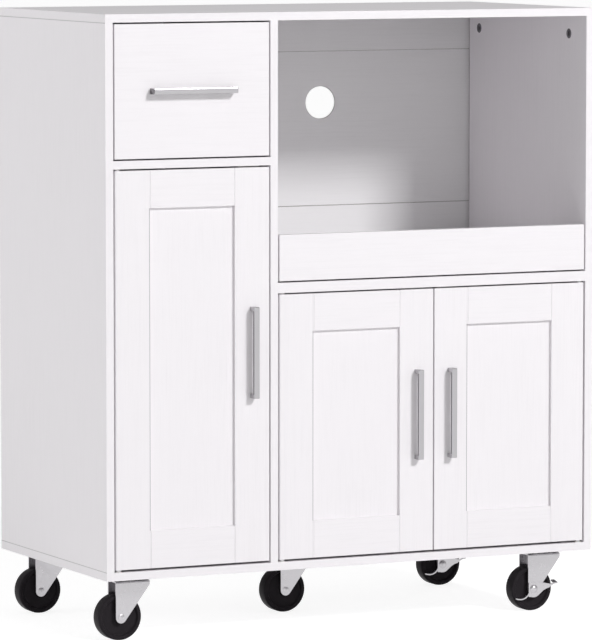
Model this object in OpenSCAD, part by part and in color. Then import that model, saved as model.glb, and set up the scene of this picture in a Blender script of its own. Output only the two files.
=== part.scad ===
// Microwave cart: a kitchen cabinet on five swivel casters, with a drawer over a tall
// cupboard on the left, and an open microwave bay with a pull-out tray over a wide
// cupboard on the right. Millimetres, front towards -Y, origin on the floor at the
// middle of the footprint.

/* [Cabinet] */
// Width of the cabinet body
body_w = 800; // [760:10:900]
// Depth of the cabinet body, front edges to rear edges
body_d = 400; // [396:2:450]
// Height of the cabinet body without its casters
body_h = 820; // [800:10:860]
// Thickness of the boards of the body and of the fronts
board_t = 12; // [12:0.5:14]
// Thickness of the shelf under the microwave bay and of the pull-out tray
shelf_t = 15; // [14:1:16]
// Clear width of the left column
left_bay_w = 250.5; // [240:0.5:270]
// Clear height of the drawer's bay
drawer_bay_h = 199; // [190:1:220]
// Clear height of the wide cupboard under the microwave bay
cupboard_h = 397; // [380:1:410]

/* [Back boards] */
// Thickness of the back boards
back_t = 3; // [3:0.5:5]
// Distance from the rear edges to the rear face of the back boards
back_inset = 14; // [12:1:16]
// Depth of the grooves that hold the back boards
groove_d = 4; // [3:0.5:4]
// Height of the board with the cable hole
cable_board_h = 239; // [200:1:260]
// Distance from the body's top face to the joint above the cable hole
top_joint_z = 76.5; // [60:0.5:90]
// Diameter of the cable hole
cable_hole_d = 50; // [30:1:60]

/* [Fronts] */
// Gap round a door, the drawer front and the tray front
gap = 2.4; // [2.2:0.1:2.6]
// Gap under a door
foot_gap = 3.5; // [3:0.1:3.8]
// Width of the stiles and rails of a framed door
stile_w = 55; // [45:1:65]
// Depth of a door's panel behind its frame
recess = 5; // [3:0.5:5]
// Thickness of a door's panel
panel_t = 4; // [3:0.5:4]
// Height of the tray's front
tray_front_h = 68; // [55:1:80]

/* [Handles] */
// Overall length of a handle
handle_len = 134; // [100:1:180]
// Width of a handle's bar
handle_w = 8.5; // [8:0.5:14]
// Thickness of a handle's bar
handle_t = 5; // [4:0.5:6]
// Distance from the front to the face of the bar
handle_out = 15; // [13:1:35]
// Height of the tall door's handle centre above the body's underside
tall_handle_z = 324; // [200:1:450]
// Height of the pair's handle centres above the body's underside
pair_handle_z = 220.5; // [150:1:280]

/* [Door pivots] */
// Diameter of a pivot pin
pin_d = 5; // [4:0.5:5]
// Distance from the door's hinge edge to the pin's axis
pin_in = 6; // [6:0.5:7]
// Length of the pin inside the door's stile
pin_deep = 14; // [10:1:20]
// Diameter of the bush in the board
bush_d = 8; // [7:0.5:9]
// Length of the bush inside the board
bush_l = 7.2; // [6:0.2:8]

/* [Runners and shelves] */
// Length of a runner
runner_len = 350; // [300:10:350]
// Height of a runner's cabinet channel
runner_h = 30; // [27:1:35]
// Side space that a pair of runner channels fills
runner_space = 12.7; // [12.5:0.1:13.5]
// Height of the drawer's side boards
drawer_side_h = 140; // [100:5:150]
// Height of the tall cupboard's shelf above the cupboard floor
tall_shelf_z = 292; // [200:4:380]
// Height of the wide cupboard's shelf above the cupboard floor
wide_shelf_z = 194; // [120:2:240]

/* [Casters] */
// Overall height of a caster
caster_h = 93.5; // [90:0.5:97]
// Diameter of a wheel
wheel_d = 68; // [62:1:70]
// Width of a wheel's tread
wheel_w = 22; // [19:0.5:22]
// Width over the fork's legs
fork_w = 30; // [29:0.5:31]
// Thickness of the fork's sheet
fork_t = 2; // [1.5:0.25:2]
// Length of the fork's top
fork_len = 54; // [51:1:57]
// Distance from the axle to the swivel axis
trail = 21; // [19:1:23]
// Radius of the legs' round ends
fork_nose_r = 8.5; // [8:0.5:9.5]
// Diameter of the axle
axle_d = 6; // [6:0.5:8]
// Distance from the cabinet's sides to the corner casters' swivel axes
caster_in_x = 59; // [57:0.5:80]
// Distance from the front and the rear to the corner casters' swivel axes
caster_in_y = 50; // [45:0.5:80]

/* [Hidden] */
$fn = 48;

// Colours of the finishes
white_board = "#F3F1F4";
white_inside = "#E9E7EA";
brushed_metal = "#C2C0C4";
zinc_steel = "#C8C7C9";
dark_steel = "#6E6C70";
white_nylon = "#E4E3E0";
black_wheel = "#2A282B";
cut = 1;

// Places in the cabinet's frame: x from its left side, y from its front, z from its underside
front_y = -(body_d + handle_out) / 2 + handle_out;
left_x = board_t;
part_x = left_x + left_bay_w;
right_x = part_x + board_t;
wall_x = body_w - board_t;
right_bay_w = wall_x - right_x;
floor_z = board_t;
ceil_z = body_h - board_t;
divider_z = ceil_z - drawer_bay_h - board_t;
shelf_z = floor_z + cupboard_h;
bay_z = shelf_z + shelf_t;
back_y = body_d - back_inset - back_t;
board_d = back_y;
edge_gap = 0.5;
tongue = groove_d - edge_gap;
joint_gap = 0.2;
slot_air = 0.4;
high_joint = body_h - top_joint_z;
low_joint = high_joint - cable_board_h;
cable_z = (high_joint + low_joint) / 2 + 41.5;
cable_x = right_x + right_bay_w / 2;

// Cam fittings
cam_d = 15;
cam_deep = board_t - 2.2;
cam_reach = 28;
cam_ys = [55, body_d - 55];
bolt_d = 6;
bolt_bore_d = 6.6;
bolt_root_d = 5;
bolt_root_l = 8;
mid_t = board_t / 2;

// Shelf pins and their holes
peg_d = 5;
peg_deep = 5.5;
hole_pitch = 64;
peg_ys = [60, body_d - 60];
shelf_front_y = 26;
shelf_rear_gap = 5;
shelf_side_gap = 1;

// Fronts
tall_door_w = left_bay_w - 2 * gap;
tall_door_h = divider_z - floor_z - gap - foot_gap;
pair_door_w = (right_bay_w - 3 * gap) / 2;
pair_door_h = cupboard_h - gap - foot_gap;
door_z = floor_z + foot_gap;
tall_door_x = left_x + gap;
left_door_x = right_x + gap;
right_door_x = wall_x - gap - pair_door_w;
rail_groove = 8;
edge_r = 2;
drawer_front_h = drawer_bay_h - 2 * gap;
drawer_front_z = divider_z + board_t + gap;
tray_z = bay_z + gap;
tray_board_z = tray_z + 2;

// Pivots
pin_y = board_t / 2;
flange_t = 0.8;
flange_d = 10;
collar_d = 9;
thrust_gap = 0.2;
pin_play = 0.05;
bush_bore_l = bush_l + flange_t - 0.6;
pin_in_bush = bush_bore_l - flange_t - 1;

// Fixings of the handles
screw_d = 4;
screw_head_d = 8;
screw_head_t = 2.2;
leg_l = 6;
grip_in = stile_w / 2 - 1;
screw_in = 7;

// Magnetic catches and their strike plates
catch_size = [34, 12, 10];
strike_size = [22, 1.2, 11];
catch_air = 0.4;
catch_in = 26;

// Drawer box and runners
drawer_side_z = drawer_front_z + 14;
drawer_box_x = left_x + runner_space;
drawer_box_w = left_bay_w - 2 * runner_space;
drawer_box_l = runner_len;
drawer_floor_z = drawer_side_z + 10;
drawer_floor_t = 3;
runner_t = 1.2;
runner_y = board_t + 3;
drawer_runner_z = drawer_side_z + 40;
tray_runner_z = bay_z + 1 + runner_h / 2;
tray_l = 360;

// Casters
plate_t = 2.5;
plate_w = 56;
plate_hole = 21;
plate_corner = 4;
wood_screw_d = 4;
wood_screw_l = 9.5;
race_d = 22;
race_t = 3;
cup_d = 28;
cup_t = 2;
cup_rise = 3;
fork_z = caster_h - 6.5;
axle_z = wheel_d / 2;
kingpin_d = 8;
kingpin_head_d = 14;
kingpin_head_t = 2.5;
swivel_play = 0.1;
axle_play = 0.05;
lever_t = 1.8;
lever_air = 0.15;
fork_tail = trail + fork_nose_r;
bend_r = 3;
caster_spots = [
    [caster_in_x, caster_in_y],
    [body_w - caster_in_x, caster_in_y],
    [body_w / 2 - 3, body_d / 2],
    [caster_in_x, body_d - caster_in_y],
    [body_w - caster_in_x, body_d - caster_in_y]
];

// Puts a shape given in the cabinet's frame in its place above the casters
module in_cabinet() {
    translate([-body_w / 2, front_y, caster_h]) children();
}

// Puts a shape given about a caster's swivel axis, z from the floor, under the cabinet
module at_caster(i) {
    translate([caster_spots[i][0] - body_w / 2, caster_spots[i][1] + front_y, 0]) children();
}

// Cylinders along X and along Y, starting at the origin
module along_x(d, l) {
    rotate([0, 90, 0]) cylinder(d = d, h = l);
}

module along_y(d, l) {
    rotate([-90, 0, 0]) cylinder(d = d, h = l);
}

// ---- Carcass ----

// Grooves for a back board, with air in front of it: along X in the underside or the top of
// a board, and along Z in an upright
module groove_x(x, w, z) {
    translate([x, back_y - slot_air, z]) cube([w, back_t + slot_air, groove_d + cut]);
}

module groove_z(x) {
    translate([x, back_y - slot_air, floor_z - cut]) cube([groove_d + cut, back_t + slot_air, body_h]);
}

// Blind holes in a board's face for the threaded ends of cam bolts
module bolt_holes_z(z) {
    for (x = [mid_t, part_x + mid_t, body_w - mid_t], y = cam_ys) {
        translate([x, y, z]) cylinder(d = bolt_root_d, h = bolt_root_l + cut);
    }
}

module top_panel() {
    color(white_board)
    in_cabinet()
    difference() {
        translate([0, 0, ceil_z]) cube([body_w, body_d, board_t]);
        groove_x(left_x - groove_d, left_bay_w + 2 * groove_d, ceil_z - cut);
        groove_x(right_x - groove_d, right_bay_w + 2 * groove_d, ceil_z - cut);
        bolt_holes_z(ceil_z - cut);
    }
}

module bottom_panel() {
    color(white_board)
    in_cabinet()
    difference() {
        cube([body_w, body_d, board_t]);
        groove_x(left_x - groove_d, left_bay_w + 2 * groove_d, floor_z - groove_d);
        groove_x(right_x - groove_d, right_bay_w + 2 * groove_d, floor_z - groove_d);
        bolt_holes_z(floor_z - bolt_root_l);
        for (x = [pivot_x(0), pivot_x(1), pivot_x(2)]) {
            translate([x, pin_y, floor_z - bush_l]) cylinder(d = bush_d, h = bush_l + cut);
        }
        for (i = [0 : 4]) {
            translate([caster_spots[i][0], caster_spots[i][1], -cut]) plate_holes(wood_screw_d, wood_screw_l + cut);
        }
    }
}

// Bores in an upright for the cams, opening to the side given by dir, and for their bolts
module cam_bores(x, dir) {
    for (y = cam_ys, z = [floor_z + cam_reach, ceil_z - cam_reach]) {
        translate([x + dir * (mid_t - cam_deep), y, z])
        rotate([0, dir * 90, 0]) cylinder(d = cam_d, h = cam_deep + cut);
    }
    for (y = cam_ys) {
        translate([x, y, floor_z - cut]) cylinder(d = bolt_bore_d, h = cam_reach + cut);
        translate([x, y, ceil_z - cam_reach]) cylinder(d = bolt_bore_d, h = cam_reach + cut);
    }
}

// Two rows of blind peg holes in the face at x, going into the board towards dir
module peg_holes(x, dir, z) {
    for (y = peg_ys, k = [-1 : 1]) {
        translate([x, y, z - peg_d / 2 + k * hole_pitch])
        rotate([0, dir * 90, 0]) cylinder(d = peg_d, h = peg_deep);
    }
}

// Blind holes in the face at x for the bolts of a board whose middle is at height z
module side_bolt_holes(x, dir, z) {
    for (y = cam_ys) {
        translate([x, y, z]) rotate([0, dir * 90, 0]) cylinder(d = bolt_root_d, h = bolt_root_l);
    }
}

module left_side_panel() {
    color(white_board)
    in_cabinet()
    difference() {
        translate([0, 0, floor_z]) cube([board_t, body_d, ceil_z - floor_z]);
        groove_z(left_x - groove_d);
        cam_bores(mid_t, 1);
        peg_holes(left_x, -1, floor_z + tall_shelf_z);
        side_bolt_holes(left_x, -1, divider_z + mid_t);
    }
}

module right_side_panel() {
    color(white_board)
    in_cabinet()
    difference() {
        translate([wall_x, 0, floor_z]) cube([board_t, body_d, ceil_z - floor_z]);
        groove_z(wall_x - cut);
        cam_bores(wall_x + mid_t, -1);
        peg_holes(wall_x, 1, floor_z + wide_shelf_z);
        side_bolt_holes(wall_x, 1, shelf_z + shelf_t / 2);
    }
}

module partition() {
    color(white_board)
    in_cabinet()
    difference() {
        translate([part_x, 0, floor_z]) cube([board_t, body_d, ceil_z - floor_z]);
        groove_z(part_x - cut);
        groove_z(right_x - groove_d);
        cam_bores(part_x + mid_t, -1);
        peg_holes(part_x, 1, floor_z + tall_shelf_z);
        peg_holes(right_x, -1, floor_z + wide_shelf_z);
        side_bolt_holes(part_x, 1, divider_z + mid_t);
        side_bolt_holes(right_x, -1, shelf_z + shelf_t / 2);
    }
}

// Bores in a fixed shelf for the cams in its underside, and for their bolts from its ends
module shelf_cam_bores(x0, x1, z, t) {
    for (y = cam_ys, x = [x0 + cam_reach, x1 - cam_reach]) {
        translate([x, y, z - cut]) cylinder(d = cam_d, h = cam_deep + cut);
    }
    for (y = cam_ys) {
        translate([x0 - cut, y, z + t / 2]) along_x(bolt_bore_d, cam_reach + cut);
        translate([x1 - cam_reach, y, z + t / 2]) along_x(bolt_bore_d, cam_reach + cut);
    }
}

module drawer_divider() {
    color(white_board)
    in_cabinet()
    difference() {
        translate([left_x, 0, divider_z]) cube([left_bay_w, board_d, board_t]);
        shelf_cam_bores(left_x, part_x, divider_z, board_t);
        translate([pivot_x(0), pin_y, divider_z - cut]) cylinder(d = bush_d, h = bush_l + cut);
    }
}

module microwave_shelf() {
    color(white_board)
    in_cabinet()
    difference() {
        translate([right_x, 0, shelf_z]) cube([right_bay_w, board_d, shelf_t]);
        shelf_cam_bores(right_x, wall_x, shelf_z, shelf_t);
        for (x = [pivot_x(1), pivot_x(2)]) {
            translate([x, pin_y, shelf_z - cut]) cylinder(d = bush_d, h = bush_l + cut);
        }
    }
}

// A back board between heights z0 and z1 of the column that starts at x and is w wide
module back_board(x, w, z0, z1) {
    translate([x - tongue, back_y, z0]) cube([w + 2 * tongue, back_t, z1 - z0]);
}

module back_board_upper() {
    color(white_inside)
    in_cabinet() back_board(right_x, right_bay_w, high_joint + joint_gap / 2, ceil_z + tongue);
}

module back_board_cable() {
    color(white_inside)
    in_cabinet()
    difference() {
        back_board(right_x, right_bay_w, low_joint + joint_gap / 2, high_joint - joint_gap / 2);
        translate([cable_x, back_y - cut, cable_z]) along_y(cable_hole_d, back_t + 2 * cut);
    }
}

module back_board_lower() {
    color(white_inside)
    in_cabinet() back_board(right_x, right_bay_w, floor_z - tongue, low_joint - joint_gap / 2);
}

module back_board_left() {
    color(white_inside)
    in_cabinet() back_board(left_x, left_bay_w, floor_z - tongue, ceil_z + tongue);
}

// ---- Loose shelves and their pins ----

module loose_shelf(x, w, z) {
    translate([x + shelf_side_gap, shelf_front_y, z])
    cube([w - 2 * shelf_side_gap, back_y - shelf_rear_gap - shelf_front_y, board_t]);
}

module tall_cupboard_shelf() {
    color(white_board)
    in_cabinet() loose_shelf(left_x, left_bay_w, floor_z + tall_shelf_z);
}

module wide_cupboard_shelf() {
    color(white_board)
    in_cabinet() loose_shelf(right_x, right_bay_w, floor_z + wide_shelf_z);
}

// A peg with a collar and a flat spade for the shelf to lie on, pointing to +X from the wall
module shelf_pin() {
    spade_l = 9;
    spade_w = 8;
    spade_t = 2;
    collar_w = 9;
    collar_l = 0.9;
    translate([-peg_deep, 0, 0]) along_x(peg_d, peg_deep);
    intersection() {
        along_x(collar_w, collar_l);
        translate([0, -collar_w / 2, -collar_w / 2]) cube([collar_l, collar_w, collar_w / 2 + peg_d / 2]);
    }
    translate([0, -spade_w / 2, peg_d / 2 - spade_t]) cube([spade_l, spade_w, spade_t]);
}

module shelf_pins() {
    color(zinc_steel)
    in_cabinet()
    for (y = peg_ys) {
        translate([left_x, y, floor_z + tall_shelf_z - peg_d / 2]) shelf_pin();
        translate([part_x, y, floor_z + tall_shelf_z - peg_d / 2]) mirror([1, 0, 0]) shelf_pin();
        translate([right_x, y, floor_z + wide_shelf_z - peg_d / 2]) shelf_pin();
        translate([wall_x, y, floor_z + wide_shelf_z - peg_d / 2]) mirror([1, 0, 0]) shelf_pin();
    }
}

// ---- Cam fittings ----

// A cam with its face at z = 0 and its body below, with the mouth that grips the bolt
// towards -X at the depth mouth_z, and a cross slot in its face
module cam(mouth_z) {
    slot_w = 1.6;
    slot_l = 8;
    slot_deep = 2;
    difference() {
        translate([0, 0, -cam_deep]) cylinder(d = cam_d, h = cam_deep);
        translate([-cam_d, 0, mouth_z]) along_x(bolt_bore_d, cam_d + bolt_d / 2);
        for (a = [45, 135]) {
            rotate([0, 0, a])
            translate([-slot_l / 2, -slot_w / 2, -slot_deep]) cube([slot_l, slot_w, slot_deep + cut]);
        }
    }
}

// A cam bolt along +Z: its head in the cam at the origin, its threaded end in the next board
module cam_bolt() {
    head_l = 2.5;
    neck_d = 4;
    neck_l = 4;
    cylinder(d = bolt_d, h = head_l);
    translate([0, 0, head_l]) cylinder(d = neck_d, h = neck_l);
    translate([0, 0, head_l + neck_l]) cylinder(d = bolt_d, h = cam_reach - head_l - neck_l);
    translate([0, 0, cam_reach]) cylinder(d = bolt_root_d, h = bolt_root_l);
}

// The cams of an upright whose middle plane is at x, facing dir
module upright_cams(x, dir) {
    for (y = cam_ys, up = [-1, 1]) {
        z = up > 0 ? ceil_z - cam_reach : floor_z + cam_reach;
        translate([x + dir * mid_t, y, z])
        rotate([0, dir * 90, 0])
        rotate([0, 0, dir * up > 0 ? 0 : 180]) cam(-mid_t);
    }
}

// The cams in the underside of a fixed shelf
module shelf_cams(x0, x1, z, t) {
    for (y = cam_ys) {
        translate([x0 + cam_reach, y, z]) mirror([0, 0, 1]) cam(-t / 2);
        translate([x1 - cam_reach, y, z]) mirror([0, 0, 1]) rotate([0, 0, 180]) cam(-t / 2);
    }
}

module cam_locks() {
    color(dark_steel)
    in_cabinet() {
        upright_cams(mid_t, 1);
        upright_cams(part_x + mid_t, -1);
        upright_cams(wall_x + mid_t, -1);
        shelf_cams(left_x, part_x, divider_z, board_t);
        shelf_cams(right_x, wall_x, shelf_z, shelf_t);
    }
}

// The bolts of a fixed shelf, one at each end of each cam row
module shelf_bolts(x0, x1, z) {
    for (y = cam_ys) {
        translate([x0 + cam_reach, y, z]) rotate([0, -90, 0]) cam_bolt();
        translate([x1 - cam_reach, y, z]) rotate([0, 90, 0]) cam_bolt();
    }
}

module cam_bolts() {
    color(zinc_steel)
    in_cabinet() {
        for (x = [mid_t, part_x + mid_t, wall_x + mid_t], y = cam_ys) {
            translate([x, y, ceil_z - cam_reach]) cam_bolt();
            translate([x, y, floor_z + cam_reach]) mirror([0, 0, 1]) cam_bolt();
        }
        shelf_bolts(left_x, part_x, divider_z + mid_t);
        shelf_bolts(right_x, wall_x, shelf_z + shelf_t / 2);
    }
}

// ---- Door pivots ----

// x of the pivot axis of the tall door, the left door and the right door
function pivot_x(i) = i == 0 ? tall_door_x + pin_in : i == 1 ? left_door_x + pin_in : wall_x - gap - pin_in;

// A flanged bush in a board whose face is z = 0, with its mouth upwards
module pivot_bush() {
    difference() {
        union() {
            translate([0, 0, -bush_l]) cylinder(d = bush_d, h = bush_l);
            cylinder(d = flange_d, h = flange_t);
        }
        translate([0, 0, flange_t - bush_bore_l]) cylinder(d = pin_d + 2 * pin_play, h = bush_bore_l + cut);
    }
}

module pivot_bushes() {
    color(white_nylon)
    in_cabinet()
    for (i = [0 : 2]) {
        translate([pivot_x(i), pin_y, floor_z]) pivot_bush();
        translate([pivot_x(i), pin_y, i == 0 ? divider_z : shelf_z]) mirror([0, 0, 1]) pivot_bush();
    }
}

// ---- Magnetic catches ----

// A catch on the underside at height z, its magnet facing the door
module magnetic_catch(x, z) {
    pole_w = 3;
    pole_gap = 6;
    face_y = board_t + strike_size[1] + catch_air;
    difference() {
        translate([x - catch_size[0] / 2, face_y, z - catch_size[2]]) cube(catch_size);
        for (side = [-1, 1]) {
            translate([x + side * pole_gap - pole_w / 2, face_y - cut, z - catch_size[2] - cut])
            cube([pole_w, cut + 0.8, catch_size[2] - 1]);
        }
    }
}

module magnetic_catches() {
    color(white_nylon)
    in_cabinet() {
        magnetic_catch(tall_door_x + tall_door_w - catch_in, divider_z);
        magnetic_catch(left_door_x + pair_door_w - catch_in, shelf_z);
        magnetic_catch(right_door_x + catch_in, shelf_z);
    }
}

// ---- Framed doors ----
// A door is drawn with its hinge edge at x = 0, its face at y = 0 and its foot at z = 0.

// Both stiles: the hinge stile is rounded on its front edge so that it clears the side as it turns
module door_stiles(w, h) {
    difference() {
        union() {
            linear_extrude(height = h) {
                translate([edge_r, 0]) square([stile_w - edge_r, board_t]);
                translate([0, edge_r]) square([stile_w, board_t - edge_r]);
                translate([edge_r, edge_r]) circle(r = edge_r);
            }
            translate([w - stile_w, 0, 0]) cube([stile_w, board_t, h]);
        }
        translate([stile_w - rail_groove, recess, -cut])
        cube([w - 2 * stile_w + 2 * rail_groove, panel_t, h + 2 * cut]);
        for (z = [-cut, h - pin_deep]) {
            translate([pin_in, pin_y, z]) cylinder(d = pin_d, h = pin_deep + cut);
        }
    }
}

// Both rails, with tongues in the stiles' grooves and a groove for the panel
module door_rails(w, h) {
    inner_w = w - 2 * stile_w;
    for (z = [0, h - stile_w]) {
        difference() {
            union() {
                translate([stile_w, 0, z]) cube([inner_w, board_t, stile_w]);
                translate([stile_w - rail_groove, recess, z])
                cube([inner_w + 2 * rail_groove, panel_t, stile_w]);
            }
            translate([stile_w - rail_groove - cut, recess, z == 0 ? stile_w - rail_groove : z - cut])
            cube([inner_w + 2 * rail_groove + 2 * cut, panel_t, rail_groove + cut]);
        }
    }
}

// The fine V grooves in the face where the rails meet the stiles
module joint_grooves(w, h) {
    side = 1;
    for (x = [stile_w + side, w - stile_w - side], z = [-cut, h - stile_w - cut]) {
        translate([x, 0, z])
        rotate([0, 0, 45])
        translate([-side / 2, -side / 2, 0]) cube([side, side, stile_w + 2 * cut]);
    }
}

module door_frame(w, h, handle_z) {
    difference() {
        union() {
            door_stiles(w, h);
            door_rails(w, h);
        }
        joint_grooves(w, h);
        handle_screw_places(w, handle_z)
        translate([0, -cut, 0]) along_y(screw_d, board_t + 2 * cut);
    }
}

module door_panel(w, h) {
    tuck = rail_groove - edge_gap;
    translate([stile_w - tuck, recess, stile_w - tuck])
    cube([w - 2 * stile_w + 2 * tuck, panel_t, h - 2 * stile_w + 2 * tuck]);
}

// Repeats its child at the two screws of a door's handle
module handle_screw_places(w, handle_z) {
    for (side = [-1, 1]) {
        translate([w - grip_in, 0, handle_z + side * (handle_len - leg_l) / 2]) children();
    }
}

// A handle along Z, centred on the origin, its feet on the plane y = 0
module bar_handle() {
    corner = 1.2;
    half = handle_len / 2;
    difference() {
        translate([-handle_w / 2, 0, 0])
        rotate([90, 0, 90])
        linear_extrude(height = handle_w)
        polygon([
            [0, -half], [0, half], [corner - handle_out, half], [-handle_out, half - corner],
            [-handle_out, corner - half], [corner - handle_out, -half]
        ]);
        translate([-handle_w / 2 - cut, handle_t - handle_out, leg_l - half])
        cube([handle_w + 2 * cut, handle_out, handle_len - 2 * leg_l]);
        for (side = [-1, 1]) {
            translate([0, -screw_in, side * (handle_len - leg_l) / 2]) along_y(screw_d, screw_in + cut);
        }
    }
}

// The cross recess of a screw head: two bars crossed, down from z = 0
module cross_recess(l) {
    for (turn = [45, 135]) {
        rotate([0, 0, turn]) translate([-l / 2, -0.45, -1.2]) cube([l, 0.9, 1.2 + cut]);
    }
}

// A handle's screw, its head behind the front, its point in the handle's leg
module handle_screw() {
    difference() {
        translate([0, board_t, 0]) along_y(screw_head_d, screw_head_t);
        translate([0, board_t + screw_head_t, 0]) rotate([-90, 0, 0]) cross_recess(4.4);
    }
    translate([0, -screw_in, 0]) along_y(screw_d, board_t + screw_in);
}

// A pivot pin at the foot of a door: shank in the stile, thrust collar in the room under the
// door, end in the bush
module pivot_pin(room) {
    collar_t = room - flange_t - thrust_gap;
    translate([0, 0, -room - pin_in_bush]) cylinder(d = pin_d, h = room + pin_in_bush + pin_deep);
    translate([0, 0, -collar_t]) cylinder(d = collar_d, h = collar_t);
}

// The pins, the strike plate and the handle's screws of a door
module door_fittings(w, h, handle_z) {
    translate([pin_in, pin_y, 0]) pivot_pin(foot_gap);
    translate([pin_in, pin_y, h]) mirror([0, 0, 1]) pivot_pin(gap);
    translate([w - catch_in - strike_size[0] / 2, board_t, h - strike_size[2] - 1]) cube(strike_size);
    handle_screw_places(w, handle_z) handle_screw();
}

// Puts a part of the tall door, of the left door or of the right door in its place
module at_tall_door() {
    in_cabinet() translate([tall_door_x, 0, door_z]) children();
}

module at_left_door() {
    in_cabinet() translate([left_door_x, 0, door_z]) children();
}

module at_right_door() {
    in_cabinet() translate([wall_x - gap, 0, door_z]) mirror([1, 0, 0]) children();
}

module door_handle(w, handle_z) {
    translate([w - grip_in, 0, handle_z]) bar_handle();
}

tall_grip = tall_handle_z - door_z;
pair_grip = pair_handle_z - door_z;

module tall_door_frame() {
    color(white_board) at_tall_door() door_frame(tall_door_w, tall_door_h, tall_grip);
}

module tall_door_panel() {
    color(white_board) at_tall_door() door_panel(tall_door_w, tall_door_h);
}

module tall_door_handle() {
    color(brushed_metal) at_tall_door() door_handle(tall_door_w, tall_grip);
}

module tall_door_fittings() {
    color(zinc_steel) at_tall_door() door_fittings(tall_door_w, tall_door_h, tall_grip);
}

module left_door_frame() {
    color(white_board) at_left_door() door_frame(pair_door_w, pair_door_h, pair_grip);
}

module left_door_panel() {
    color(white_board) at_left_door() door_panel(pair_door_w, pair_door_h);
}

module left_door_handle() {
    color(brushed_metal) at_left_door() door_handle(pair_door_w, pair_grip);
}

module left_door_fittings() {
    color(zinc_steel) at_left_door() door_fittings(pair_door_w, pair_door_h, pair_grip);
}

module right_door_frame() {
    color(white_board) at_right_door() door_frame(pair_door_w, pair_door_h, pair_grip);
}

module right_door_panel() {
    color(white_board) at_right_door() door_panel(pair_door_w, pair_door_h);
}

module right_door_handle() {
    color(brushed_metal) at_right_door() door_handle(pair_door_w, pair_grip);
}

module right_door_fittings() {
    color(zinc_steel) at_right_door() door_fittings(pair_door_w, pair_door_h, pair_grip);
}

// ---- Runners ----

// The cabinet's channel, on the wall at x = 0 and open towards +X, centred on z = 0
module cabinet_channel() {
    lip = 3;
    mouth_x = runner_space - 1.7;
    half = runner_h / 2;
    translate([0, runner_len, 0])
    rotate([90, 0, 0])
    linear_extrude(height = runner_len)
    difference() {
        translate([0, -half]) square([mouth_x, runner_h]);
        translate([runner_t, runner_t - half]) square([mouth_x - 2 * runner_t, runner_h - 2 * runner_t]);
        translate([runner_t, runner_t + lip - half]) square([mouth_x, runner_h - 2 * (runner_t + lip)]);
    }
}

// The sliding member, with its web on the moving part at x = runner_space
module sliding_member() {
    play = 0.5;
    half = runner_h / 2 - 1.2 - 3 - play;
    foot = runner_h / 2 - runner_t - play;
    back_x = runner_t + 1.8;
    translate([0, runner_len, 0])
    rotate([90, 0, 0])
    linear_extrude(height = runner_len)
    difference() {
        union() {
            translate([back_x, -half]) square([runner_space - back_x, 2 * half]);
            translate([back_x, -foot]) square([runner_t, 2 * foot]);
        }
        translate([back_x - cut, runner_t - half])
        square([runner_space - back_x - runner_t + cut, 2 * (half - runner_t)]);
    }
}

module cabinet_runners() {
    color(zinc_steel)
    in_cabinet() {
        translate([left_x, runner_y, drawer_runner_z]) cabinet_channel();
        translate([part_x, runner_y, drawer_runner_z]) mirror([1, 0, 0]) cabinet_channel();
        translate([right_x, runner_y, tray_runner_z]) cabinet_channel();
        translate([wall_x, runner_y, tray_runner_z]) mirror([1, 0, 0]) cabinet_channel();
    }
}

module drawer_runners() {
    color(zinc_steel)
    in_cabinet() {
        translate([left_x, board_t, drawer_runner_z]) sliding_member();
        translate([part_x, board_t, drawer_runner_z]) mirror([1, 0, 0]) sliding_member();
    }
}

module tray_runners() {
    color(zinc_steel)
    in_cabinet() {
        translate([right_x, board_t, tray_runner_z]) sliding_member();
        translate([wall_x, board_t, tray_runner_z]) mirror([1, 0, 0]) sliding_member();
    }
}

// ---- Drawer ----

drawer_handle_x = left_x + left_bay_w / 2;
drawer_handle_z = drawer_front_z + drawer_front_h / 2;

// The thin floor, which also cuts its own grooves
module drawer_floor(tuck, grow) {
    translate([drawer_box_x + board_t - tuck, board_t - tuck, drawer_floor_z])
    cube([drawer_box_w - 2 * board_t + 2 * tuck, drawer_box_l + tuck + grow, drawer_floor_t]);
}

module drawer_front() {
    color(white_board)
    in_cabinet()
    difference() {
        translate([left_x + gap, 0, drawer_front_z]) cube([left_bay_w - 2 * gap, board_t, drawer_front_h]);
        drawer_floor(groove_d, 0);
        for (side = [-1, 1]) {
            translate([drawer_handle_x + side * (handle_len - leg_l) / 2, -cut, drawer_handle_z])
            along_y(screw_d, board_t + 2 * cut);
        }
    }
}

module drawer_sides() {
    color(white_board)
    in_cabinet()
    difference() {
        for (x = [drawer_box_x, drawer_box_x + drawer_box_w - board_t]) {
            translate([x, board_t, drawer_side_z]) cube([board_t, drawer_box_l, drawer_side_h]);
        }
        drawer_floor(groove_d, cut);
    }
}

module drawer_back() {
    color(white_board)
    in_cabinet()
    translate([drawer_box_x + board_t, board_t + drawer_box_l - board_t, drawer_floor_z + drawer_floor_t])
    cube([drawer_box_w - 2 * board_t, board_t, drawer_side_z + drawer_side_h - drawer_floor_z - drawer_floor_t]);
}

module drawer_bottom() {
    color(white_inside)
    in_cabinet() drawer_floor(tongue, 0);
}

module drawer_handle() {
    color(brushed_metal)
    in_cabinet() translate([drawer_handle_x, 0, drawer_handle_z]) rotate([0, 90, 0]) bar_handle();
}

module drawer_screws() {
    color(zinc_steel)
    in_cabinet()
    for (side = [-1, 1]) {
        translate([drawer_handle_x + side * (handle_len - leg_l) / 2, 0, drawer_handle_z]) handle_screw();
    }
}

// ---- Pull-out tray ----

module tray_front() {
    color(white_board)
    in_cabinet() translate([right_x + gap, 0, tray_z]) cube([right_bay_w - 2 * gap, board_t, tray_front_h]);
}

module tray_board() {
    color(white_board)
    in_cabinet()
    translate([right_x + runner_space, board_t, tray_board_z])
    cube([right_bay_w - 2 * runner_space, tray_l, shelf_t]);
}

// ---- Casters ----

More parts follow.
